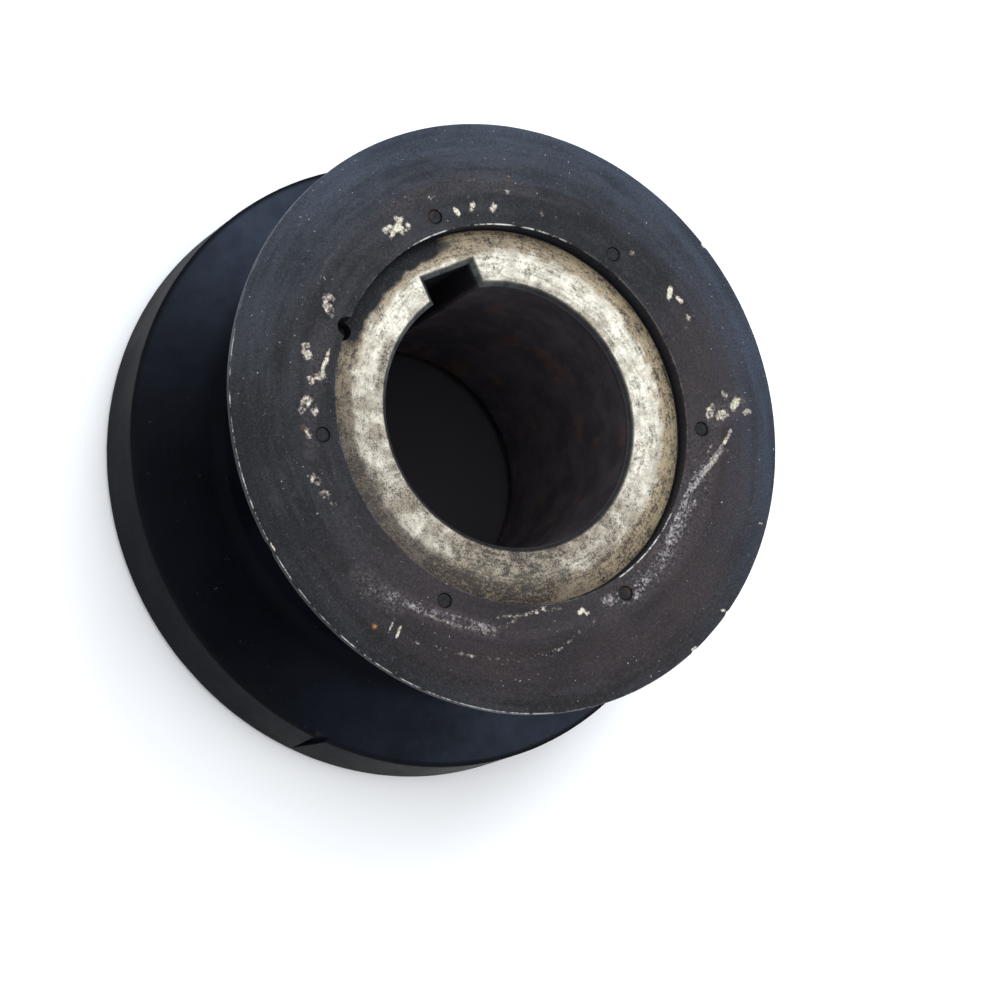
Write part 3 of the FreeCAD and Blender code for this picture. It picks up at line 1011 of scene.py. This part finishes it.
# Cutter for a pin's hole, upwards from the height of its bottom.
def pinHole(node, bottom, length):
    foot = middleOf(node) + Vector((0, 0, bottom))
    return rod(foot, (0, 0, 1), halfWidthOf(node) + holeFit["pinPlay"], length, holeFit["pinSteps"])


def makeFrontFlange():
    piece = turnedRing("frontFlange", frontOutline(), frontShape["clockSteps"])
    overrun = holeFit["overrun"]
    length = frontHigh[2] - frontLow[2] + 2 * overrun
    cutters = [pinHole(node, frontLow[2] - overrun, length) for node in dowelNodes]
    cutters.append(pinHole(lockNode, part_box(lockNode)[0][2], length))
    cutAway(piece, cutters)
    points = pointsOf(piece.data)
    wear, tint, grime = frontFields(points)
    storeFields(piece, "wear", wear)
    storeFields(piece, "tint", tint)
    storeFields(piece, "grime", grime)
    finishPiece(piece, "front_flange", frontOxide, frontRelief(points, wear))


makeFrontFlange()
print("front flange made")


rearShape = {
    "rimTop": 0.0145,
    "rimChamfer": 0.0012,
    "recessRadius": 0.049,
    "recessDepth": 0.003,
    "edgeRound": 0.00035,
    "spacing": 0.0008,
    "clockSteps": 1000,
    "notchClock": 226.4,
    "notchSkew": -2.5,
    "notchWidth": 0.0027,
    "notchLength": 0.0124,
    "notchDepth": 0.0010,
}


def rearOutline():
    shape = rearShape
    radius = rearHigh[0]
    rootZ = shape["rimTop"] + (radius - coreRadius) * math.tan(math.radians(grooveShape["flankDegrees"]))
    soft = shape["edgeRound"]
    return roundedOutline([
        (sleeveRadius, shape["recessDepth"], 0.0, shape["spacing"]),
        (shape["recessRadius"], shape["recessDepth"], 0.0006, 0.001),
        (shape["recessRadius"], rearLow[2], 0.0002, shape["spacing"]),
        (radius - shape["rimChamfer"], rearLow[2], 0.0002, 0.0006),
        (radius, rearLow[2] + shape["rimChamfer"], soft, shape["spacing"]),
        (radius, shape["rimTop"], soft, shape["spacing"]),
        (coreRadius, rootZ, grooveShape["rootRadius"], 0.002),
        (coreRadius, rearHigh[2], 0.0, 0.004),
        (sleeveRadius, rearHigh[2], 0.0, 0.004),
    ])


# Wedge-shaped cutter that lies on the rim and leans off the axis by the skew.
def notchCutter():
    shape = rearShape
    outward = spotOn(shape["notchClock"], 1.0, 0.0)
    across = Vector((0, 0, 1)).cross(outward)
    lean = math.radians(shape["notchSkew"])
    along = Vector((0, 0, -1)) * math.cos(lean) + across * math.sin(lean)
    root = outward * (rearHigh[0] - shape["notchDepth"]) + Vector((0, 0, shape["rimTop"] + 0.001))
    half = across * (shape["notchWidth"] / 2)
    tip = root + along * (shape["notchLength"] + 0.001)
    rise = outward * (shape["notchDepth"] + 0.001)
    flat = [root - half, root + half, tip]
    points = np.array([list(p) for p in flat + [p + rise for p in flat]])
    sides = np.array([(3, 4, 1, 0), (4, 5, 2, 1), (5, 3, 0, 2)])
    ends = np.array([(0, 1, 2), (5, 4, 3)])
    return meshFrom("cutter", points, sides, ends)


# Where the wear and the painted sheen of the rear flange lie: strengths at clock angles, a sector and bands
# of radius.
rearWear = {
    "rubSector": (203.0, 14.0, 40.0),
    "hazeClocks": [0, 60, 170, 186, 200, 215, 235, 255, 292, 312, 330, 345, 360],
    "hazeLevels": [0.9, 0.4, 0.8, 1.0, 0.56, 0.26, 0.09, 0.0, 0.03, 0.20, 0.56, 0.95, 0.95],
    "hazeBand": (0.042, 0.048),
    "rimUneven": 0.00008,
    "rimBand": (0.0495, 0.051),
}


def rearFields(points):
    look = rearWear
    radii = radiusOf(points)
    clocks = clockOf(points)
    heights = points[:, 2]
    onRim = fade(radii, rearHigh[0] - 0.0008, rearHigh[0] - 0.0003)
    patchy = layeredNoise(points, 0.006, 53, 4)
    rub = onRim * (0.25 + 0.35 * patchy + 0.75 * sector(clocks, *look["rubSector"]))
    rub = np.maximum(rub, 0.6 * fadeOut(heights, 0.0004, 0.0009) * patchy)
    rust = fade(patchy, 0.62, 0.8) * (0.3 + 0.5 * fadeOut(heights, 0.001, 0.004))
    flank = (1.0 - onRim) * fade(heights, rearShape["rimTop"] - 0.0002, rearShape["rimTop"] + 0.0002)
    # Painted sheen on the groove flank, with strength by clock angle and growing outwards.
    haze = flank * np.interp(clocks, look["hazeClocks"], look["hazeLevels"])
    haze = haze * (0.8 + 0.4 * patchy) * fade(radii, *look["hazeBand"])
    return [rub, rust, haze]


def makeRearFlange():
    piece = turnedRing("rearFlange", rearOutline(), rearShape["clockSteps"])
    rearPins = [name for name in pinNodes if name.startswith("rear_pin")]
    overrun = holeFit["overrun"]
    cutters = [pinHole(node, -overrun, rearHigh[2] + 2 * overrun) for node in rearPins]
    cutters.append(pinHole(rearLockNode, -overrun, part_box(rearLockNode)[1][2] + overrun))
    cutters.append(notchCutter())
    cutAway(piece, cutters)
    points = pointsOf(piece.data)
    storeFields(piece, "wear", rearFields(points))
    dents = rearWear["rimUneven"] * layeredNoise(points, 0.005, 61, 4)
    dents = dents * fade(radiusOf(points), *rearWear["rimBand"])
    points[:, :2] *= (1.0 - dents / np.maximum(radiusOf(points), 0.001))[:, None]
    finishPiece(piece, "rear_flange", rearOxide, points)


makeRearFlange()
print("rear flange made")


screwNodes = {"key_set_screw": (0.0, 1.0, 0.0), "shaft_set_screw": (-1.0, 0.0, 0.0)}


# Cutters for both set screws' holes between two radii.
def screwCutters(innerRadius, outerRadius):
    cutters = []
    for node, axis in screwNodes.items():
        low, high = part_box(node)
        height = (low[2] + high[2]) / 2
        foot = Vector(axis) * innerRadius + Vector((0, 0, height))
        radius = (high[2] - low[2]) / 2 + holeFit["screwPlay"]
        cutters.append(rod(foot, axis, radius, outerRadius - innerRadius, holeFit["screwSteps"]))
    return cutters


coreShape = {
    "clockSteps": 480,
    "spacing": 0.004,
    "wallSpacing": 0.0012,
    "edgeRound": 0.0002,
    "overrun": 0.002,
}


def makeGrooveCore():
    shape = coreShape
    outline = roundedOutline([
        (sleeveRadius, coreLow[2], 0.0, shape["spacing"]),
        (coreRadius, coreLow[2], shape["edgeRound"], shape["wallSpacing"]),
        (coreRadius, coreHigh[2], shape["edgeRound"], shape["spacing"]),
        (sleeveRadius, coreHigh[2], 0.0, shape["spacing"]),
    ])
    piece = turnedRing("grooveCore", outline, shape["clockSteps"])
    cutAway(piece, screwCutters(sleeveRadius - shape["overrun"], coreRadius + shape["overrun"]))
    points = pointsOf(piece.data)
    patchy = layeredNoise(points, 0.005, 71, 4)
    storeFields(piece, "wear", [0.25 * patchy, 0.3 * fade(patchy, 0.6, 0.8), np.zeros(len(points))])
    finishPiece(piece, "groove_core", rearOxide, points)


makeGrooveCore()
print("groove core made")


sleeveShape = {
    "keyWidth": 0.010,
    "keyFloor": 0.0281,
    "edgeChamfer": 0.0010,
    "faceRadius": 0.0309,
    "chamferDepth": 0.0014,
    "faceSpacing": 0.00026,
    "floorSteps": 36,
    "wallSteps": 10,
    "roundSteps": 470,
    "bottomRings": 8,
    "slopeRings": 6,
    "chamferRings": 5,
    "boreRings": 40,
    "faceUneven": 0.00008,
}


# Clock angles round the bore for a given growth of the keyway, with steps exactly on its corners.
def boreClocks(grow):
    shape = sleeveShape
    half = shape["keyWidth"] / 2 + grow
    corner = math.atan2(half, shape["keyFloor"] + grow)
    mouth = math.asin(half / (boreRadius + grow))
    right = np.concatenate([
        np.linspace(0.0, corner, shape["floorSteps"], endpoint=False),
        np.linspace(corner, mouth, shape["wallSteps"], endpoint=False),
        np.linspace(mouth, math.pi, shape["roundSteps"], endpoint=False),
    ])
    left = 2 * math.pi - np.concatenate([right[1:], [math.pi]])[::-1]
    return np.concatenate([right, left])


# Bore radius at each clock angle: the circle, or further out the nearer of keyway wall and floor.
def boreRadii(clocks, grow):
    shape = sleeveShape
    away = np.abs((clocks + math.pi) % (2 * math.pi) - math.pi)
    wall = (shape["keyWidth"] / 2 + grow) / np.maximum(np.sin(away), 1e-6)
    floor = (shape["keyFloor"] + grow) / np.maximum(np.cos(away), 1e-6)
    slot = np.where(away < math.pi / 4, np.minimum(wall, floor), 0.0)
    return np.maximum(boreRadius + grow, slot)


# Rings of the sleeve in outline order. Each is (growth of the keyway, share of the way from the bore's
# edge to the face radius, radius past the face or None, height).
def sleeveRings():
    shape = sleeveShape
    low, high = sleeveLow[2], sleeveHigh[2]
    chamfer = shape["edgeChamfer"]
    faceWidth = shape["faceRadius"] - boreRadius - chamfer
    faceCount = int(faceWidth / shape["faceSpacing"])
    bottomShares = np.linspace(0.0, 1.0, shape["bottomRings"])
    rings = [(chamfer, share, None, low) for share in bottomShares]
    slope = np.linspace(0.0, 1.0, shape["slopeRings"])[1:]
    reach = sleeveRadius - shape["faceRadius"]
    depth = shape["chamferDepth"]
    rings += [(chamfer, 1.0, shape["faceRadius"] + reach * t, low + depth * t) for t in slope]
    slopeUp = np.linspace(0.0, 1.0, int(depth * 1.5 / shape["faceSpacing"]))
    rings += [(chamfer, 1.0, sleeveRadius - reach * t, high - depth * (1 - t)) for t in slopeUp[:-1]]
    rings += [(chamfer, share, None, high) for share in np.linspace(1.0, 0.0, faceCount)]
    grow = np.linspace(1.0, 0.0, shape["chamferRings"])[1:]
    rings += [(chamfer * g, 0.0, None, high - chamfer * (1 - g)) for g in grow]
    boreHeights = np.linspace(high - chamfer, low + chamfer, shape["boreRings"])
    rings += [(0.0, 0.0, None, z) for z in boreHeights[1:-1]]
    rings += [(chamfer * (1 - g), 0.0, None, low + chamfer * g) for g in grow[::-1]]
    return rings


# Where the marks of the sleeve lie: sectors are (clock, full degrees, none degrees), bands are (from, to)
# in metres of radius, and levels are strengths at clock angles.
sleeveWear = {
    "keySector": (352.0, 22.0, 40.0),
    "innerBrownSector": (310.0, 8.0, 20.0),
    "innerBrownBand": (0.0258, 0.0275),
    "topBrownSector": (48.0, 30.0, 60.0),
    "topBrownBand": (0.0255, 0.0266),
    "cleanSector": (158.0, 28.0, 44.0),
    "blackClock": 338.0,
    # Sector where the bore's chamfer is painted lighter, as if lit.
    "blackFade": (16.0, 34.0),
    "greySector": (345.0, 28.0, 60.0),
    "grimeClocks": [0, 100, 128, 148, 178, 196, 206, 222, 240, 268, 298, 325, 360],
    "grimeLevels": [0.12, 0.10, 0.18, 0.52, 0.50, 0.78, 0.98, 0.72, 0.40, 0.50, 0.32, 0.12, 0.12],
    "goldClocks": [0, 20, 34, 60, 150, 176, 200, 216, 240, 275, 300, 325, 360],
    "goldLevels": [0.80, 0.70, 0.75, 1.0, 1.0, 0.60, 0.30, 0.42, 0.05, 0.10, 0.45, 0.80, 0.80],
}


# Brown stain and black dirt towards the outer chamfer, and painted shade at the foot of the chamfer where the
# sleeve meets the flange's hole.
def sleeveStainsAndShade(radii, clocks, patchy, ragged):
    look = sleeveWear
    edge = sleeveShape["faceRadius"]
    wobble = radii + 0.0024 * (ragged - 0.5)
    stain = 0.35 * fade(wobble, edge - 0.0026, edge - 0.0004)
    stain = stain + 0.65 * fade(wobble, edge - 0.0010, edge + 0.0008)
    keyTop = sector(clocks, *look["keySector"]) * fade(wobble, edge - 0.0026, edge - 0.0006)
    stain = np.maximum(stain, 0.75 * keyTop) * (0.75 + 0.5 * patchy)
    fromBlack = np.abs(clockGap(clocks, look["blackClock"]) + 4.0 * (ragged - 0.5))
    nearEdge = radii + 0.0013 * (ragged - 0.5)
    dirtAndShade = fadeOut(fromBlack, *look["blackFade"]) * fade(nearEdge, edge - 0.0005, edge + 0.0013)
    # Painted shade at the foot of the outer chamfer, where the sleeve meets the flange's hole.
    dirtAndShade = np.maximum(dirtAndShade, 0.8 * fade(radii, sleeveRadius - 0.0005, sleeveRadius - 0.0001))
    return stain, dirtAndShade


# Dull brown wear of the face, weaker where the chamfer is clean.
def sleeveGrime(radii, clocks, patchy):
    look = sleeveWear
    edge = sleeveShape["faceRadius"]
    inner = sector(clocks, *look["innerBrownSector"]) * fadeOut(radii, *look["innerBrownBand"])
    top = sector(clocks, *look["topBrownSector"]) * fadeOut(radii, *look["topBrownBand"])
    worn = np.interp(clocks, look["grimeClocks"], look["grimeLevels"]) + 0.35 * inner + 0.30 * top
    cleaner = sector(clocks, *look["cleanSector"]) * fade(radii, edge, edge + 0.0010)
    return worn * (0.60 + 0.8 * patchy) * (1.0 - 0.50 * cleaner)


def sleeveFields(points):
    shape = sleeveShape
    look = sleeveWear
    radii = radiusOf(points)
    clocks = clockOf(points)
    patchy = layeredNoise(points, 0.004, 83, 4)
    ragged = layeredNoise(points, 0.0016, 87, 4)
    stain, dirtAndShade = sleeveStainsAndShade(radii, clocks, patchy, ragged)
    chamferWidth = shape["edgeChamfer"]
    inSlot = (np.abs(points[:, 0]) < shape["keyWidth"] / 2 + chamferWidth * 1.2) & (points[:, 1] > 0)
    inKeyway = inSlot & (radii < shape["keyFloor"] + chamferWidth * 1.5)
    opening = (radii < boreRadius + chamferWidth + 0.00005) | inKeyway
    down = sleeveHigh[2] - points[:, 2]
    inside = opening * fade(down, chamferWidth * 0.95, chamferWidth * 1.05)
    chamfer = opening * fade(down, 0.00005, 0.00030)
    # Share of painted light on the bore's chamfer, highest round clock 345.
    chamferLitShare = 0.15 + 0.85 * sector(clocks, *look["greySector"])
    gold = np.interp(clocks, look["goldClocks"], look["goldLevels"])
    # Painted shade: the keyway darkens with depth past the bore.
    keywayShade = inKeyway * fade(radii, boreRadius + 0.0001, boreRadius + 0.0010)
    # Inside the bore the stain field carries the keyway's painted shade.
    stain = np.where(inside > 0, keywayShade, stain)
    boreRust = inside * fade(layeredNoise(points, 0.005, 91, 3), 0.50, 0.75)
    worn = sleeveGrime(radii, clocks, patchy)
    return [stain, dirtAndShade, inside], [gold, boreRust, chamfer], [worn, chamferLitShare]


def makeHubSleeve():
    rings = sleeveRings()
    rowClocks = [boreClocks(grow) for grow, share, past, height in rings]
    rowRadii = []
    for (grow, share, past, height), clocks in zip(rings, rowClocks):
        edge = boreRadii(clocks, grow)
        full = np.full(len(clocks), past if past is not None else 0.0)
        rowRadii.append(full if past is not None else edge + (sleeveShape["faceRadius"] - edge) * share)
    clocks = np.array(rowClocks)
    radii = np.array(rowRadii)
    heights = np.repeat(np.array([ring[3] for ring in rings])[:, None], clocks.shape[1], axis=1)
    piece = ringMesh("hubSleeve", radii, heights, clocks)
    overrun = holeFit["overrun"]
    cutters = screwCutters(boreRadius - overrun, sleeveRadius + overrun)
    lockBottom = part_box(lockNode)[0][2]
    cutters.append(pinHole(lockNode, lockBottom, frontHigh[2] - lockBottom + overrun))
    cutters.append(pinHole(rearLockNode, -overrun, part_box(rearLockNode)[1][2] + overrun))
    cutAway(piece, cutters)
    points = pointsOf(piece.data)
    wear, tint, grime = sleeveFields(points)
    storeFields(piece, "wear", wear)
    storeFields(piece, "tint", tint)
    storeFields(piece, "grime", grime)
    onFace = fade(points[:, 2], sleeveHigh[2] - 0.0003, sleeveHigh[2] - 0.0001)
    points[:, 2] -= onFace * sleeveShape["faceUneven"] * layeredNoise(points, 0.004, 97, 4)
    finishPiece(piece, "hub_sleeve", sleeveSteel, points, 28.0)


makeHubSleeve()
print("hub sleeve made")


screwShape = {
    "socketFlats": 0.004,
    "socketDepth": 0.0045,
    "tipChamfer": 0.0008,
    "rimRound": 0.0004,
    "steps": 96,
}


# Headless screw along its axis: a chamfered tip, a plain shank and a hexagon socket whose radius is
# half the width across flats divided by the cosine of the angle from the nearest flat.
def makeScrew(node, axis):
    shape = screwShape
    low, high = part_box(node)
    radius = (high[2] - low[2]) / 2
    reaches = sorted((abs(Vector(low).dot(Vector(axis))), abs(Vector(high).dot(Vector(axis)))))
    foot = Vector(axis) * reaches[0] + Vector((0, 0, (low[2] + high[2]) / 2))
    length = reaches[1] - reaches[0]
    soft = shape["rimRound"]
    half = shape["socketFlats"] / 2
    outline = np.array([
        (0.0, 0.0),
        (radius - shape["tipChamfer"], 0.0),
        (radius, shape["tipChamfer"]),
        (radius, length - soft),
        (radius - soft * 0.3, length - soft * 0.3),
        (radius - soft, length),
        (half * 1.25, length),
        (half, length - half * 0.12),
        (half, length - shape["socketDepth"]),
        (0.0, length - shape["socketDepth"] - half * 0.3),
    ])
    hexRows = (len(outline) - 4, len(outline) - 3)

    def hexagon(turns):
        scale = np.ones((len(outline) - 2, len(turns)))
        offset = (turns + math.pi / 6) % (math.pi / 3) - math.pi / 6
        for row in hexRows:
            scale[row] = 1.0 / np.cos(offset)
        return scale

    piece = turnedMesh(node.replace("_", ""), outline, shape["steps"], foot, axis, hexagon)
    finishPiece(piece, node, screwBlack)


for node, axis in screwNodes.items():
    makeScrew(node, axis)
print("set screws made")


stageLook = {
    "floorColour": (0.93, 0.93, 0.94),
    "floorShade": (0.90, 0.90, 0.91),
    # Painted shadow colour for the floor under the pulley, seen through the bore.
    "stain": (0.026, 0.023, 0.027),
    "floorHalf": 1.5,
    "skyColour": (0.94, 0.97, 1.0),
    "skyStrength": 1.15,
}


def makeFloor():
    f = Finish("paleFloor")
    distance = f.axisDistance()
    cloud = f.noise(0.05, 4.0)
    pale = f.mix(f.step(cloud, 0.3, 0.7), stageLook["floorShade"], stageLook["floorColour"])
    # Painted shadow: the floor is dark under the pulley, where it shows through the bore.
    colour = f.mix(f.step(distance, 0.046, 0.050), stageLook["stain"], pale)
    material = f.close({"Base Color": colour, "Roughness": 0.85, "Specular IOR Level": 0.1})
    half = stageLook["floorHalf"]
    corners = np.array([(-half, -half, 0.0), (half, -half, 0.0), (half, half, 0.0), (-half, half, 0.0)])
    floor = meshFrom("paleFloor", corners, np.array([(0, 1, 2, 3)]))
    floor.data.materials.append(material)


makeFloor()

# Soft boxes: place, aim, size in metres, power in watts, colour.
softBoxes = {
    "skyBox": ((0.42, 0.36, 0.80), (0, 0, 0.03), 0.55, 4.0, (0.84, 0.92, 1.0)),
    "topBox": ((-0.15, 0.30, 0.95), (0, 0, 0.03), 0.60, 2.0, (0.95, 0.97, 1.0)),
    "warmBox": ((0.55, -0.60, 0.60), (0, 0, 0.03), 0.60, 1.2, (1.0, 0.94, 0.90)),
}


def makeLights():
    for name, (place, aim, size, power, colour) in softBoxes.items():
        data = bpy.data.lights.new(name, "AREA")
        data.shape = "DISK"
        data.size = size
        data.energy = power
        data.color = colour
        lamp = bpy.data.objects.new(name, data)
        lamp.location = place
        lamp.rotation_euler = (Vector(aim) - Vector(place)).to_track_quat("-Z", "Y").to_euler()
        scene.collection.objects.link(lamp)
    world = bpy.data.worlds.new("studio")
    world.use_nodes = True
    background = world.node_tree.nodes["Background"]
    background.inputs["Color"].default_value = (*stageLook["skyColour"], 1.0)
    background.inputs["Strength"].default_value = stageLook["skyStrength"]
    scene.world = world
    scene.view_settings.view_transform = "Standard"


makeLights()

cameraSetup = {
    "azimuth": -177.6,
    "elevation": 61.5,
    "roll": -64.5,
    "distance": 0.6164,
    "aim": (0.0036, -0.0127, 0.030),
    "lens": 120.0,
}


# Camera at a distance from its aim point, turned about its own line of sight by the roll.
def makeCamera():
    setup = cameraSetup
    azimuth = math.radians(setup["azimuth"])
    elevation = math.radians(setup["elevation"])
    roll = math.radians(setup["roll"])
    back = Vector((
        math.cos(azimuth) * math.cos(elevation),
        math.sin(azimuth) * math.cos(elevation),
        math.sin(elevation),
    ))
    level = Vector((0, 0, 1)).cross(back).normalized()
    rise = back.cross(level)
    up = rise * math.cos(roll) + level * math.sin(roll)
    right = up.cross(back)
    data = bpy.data.cameras.new("viewCamera")
    data.lens = setup["lens"]
    data.sensor_width = 36.0
    data.clip_start = 0.01
    data.clip_end = 10.0
    camera = bpy.data.objects.new("viewCamera", data)
    turn = Matrix((right, up, back)).transposed().to_4x4()
    turn.translation = Vector(setup["aim"]) + back * setup["distance"]
    camera.matrix_world = turn
    scene.collection.objects.link(camera)
    scene.camera = camera


makeCamera()
print("stage made")

bpy.context.view_layer.update()
